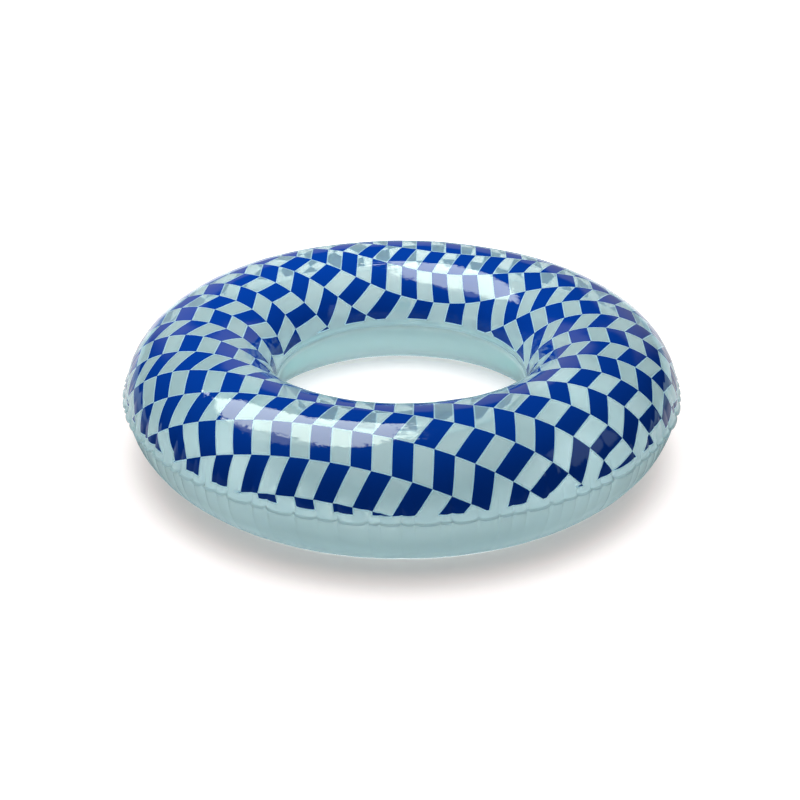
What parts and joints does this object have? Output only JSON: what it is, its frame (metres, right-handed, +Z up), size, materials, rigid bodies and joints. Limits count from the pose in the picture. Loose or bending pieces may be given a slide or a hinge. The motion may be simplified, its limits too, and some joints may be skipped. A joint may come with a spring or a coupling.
{
  "type": "swim ring",
  "caption": "Inflatable swim ring of two welded films with a zigzag check print, a puckered outer seam and a push-in air valve under its back edge.",
  "frame": {"origin": "on the floor, in the middle of the ring's hole", "axes": "+Z up through the hole, which is the ring's shortest extent; +Y towards the side with the valve; +X completes it"},
  "size_m": [0.9107, 0.911, 0.2129],
  "materials": {
    "printed_film": "glossy soft PVC film with opaque blue ink over a pale tint",
    "plain_film": "glossy, slightly see-through grey-aqua PVC film",
    "welded_lip": "double film, pressed flat by the weld",
    "moulded_valve": "soft moulded PVC, satin"
  },
  "bodies": {
    "ring": {"upper_film": "printed_film", "lower_film": "plain_film", "outer_weld": "welded_lip", "inner_weld": "welded_lip", "valve_flange": "moulded_valve", "valve_sleeve": "moulded_valve"},
    "valve_stem": {"valve_stem": "moulded_valve", "plug_strap": "moulded_valve"},
    "valve_plug": {"valve_plug": "moulded_valve"},
    "check_flap": {"check_flap": "moulded_valve"}
  },
  "joints": [
    {"name": "stem_pull", "type": "slide", "parent": "ring", "child": "valve_stem", "axis": [0, 0.7939, -0.608], "range_m": [0, 0.015], "deforming": ["valve_sleeve"]},
    {"name": "plug_pull", "type": "slide", "parent": "valve_stem", "child": "valve_plug", "axis": [0, 0.7939, -0.608], "range_m": [0, 0.012], "deforming": ["plug_strap"]},
    {"name": "flap_open", "type": "hinge", "parent": "valve_stem", "child": "check_flap", "pos_m": [-0.0046, 0.41746, 0.05594], "axis": [0, -0.608, -0.7939], "range_deg": [0, 40], "stiffness_Nm_per_rad": 0.0001}
  ]
}
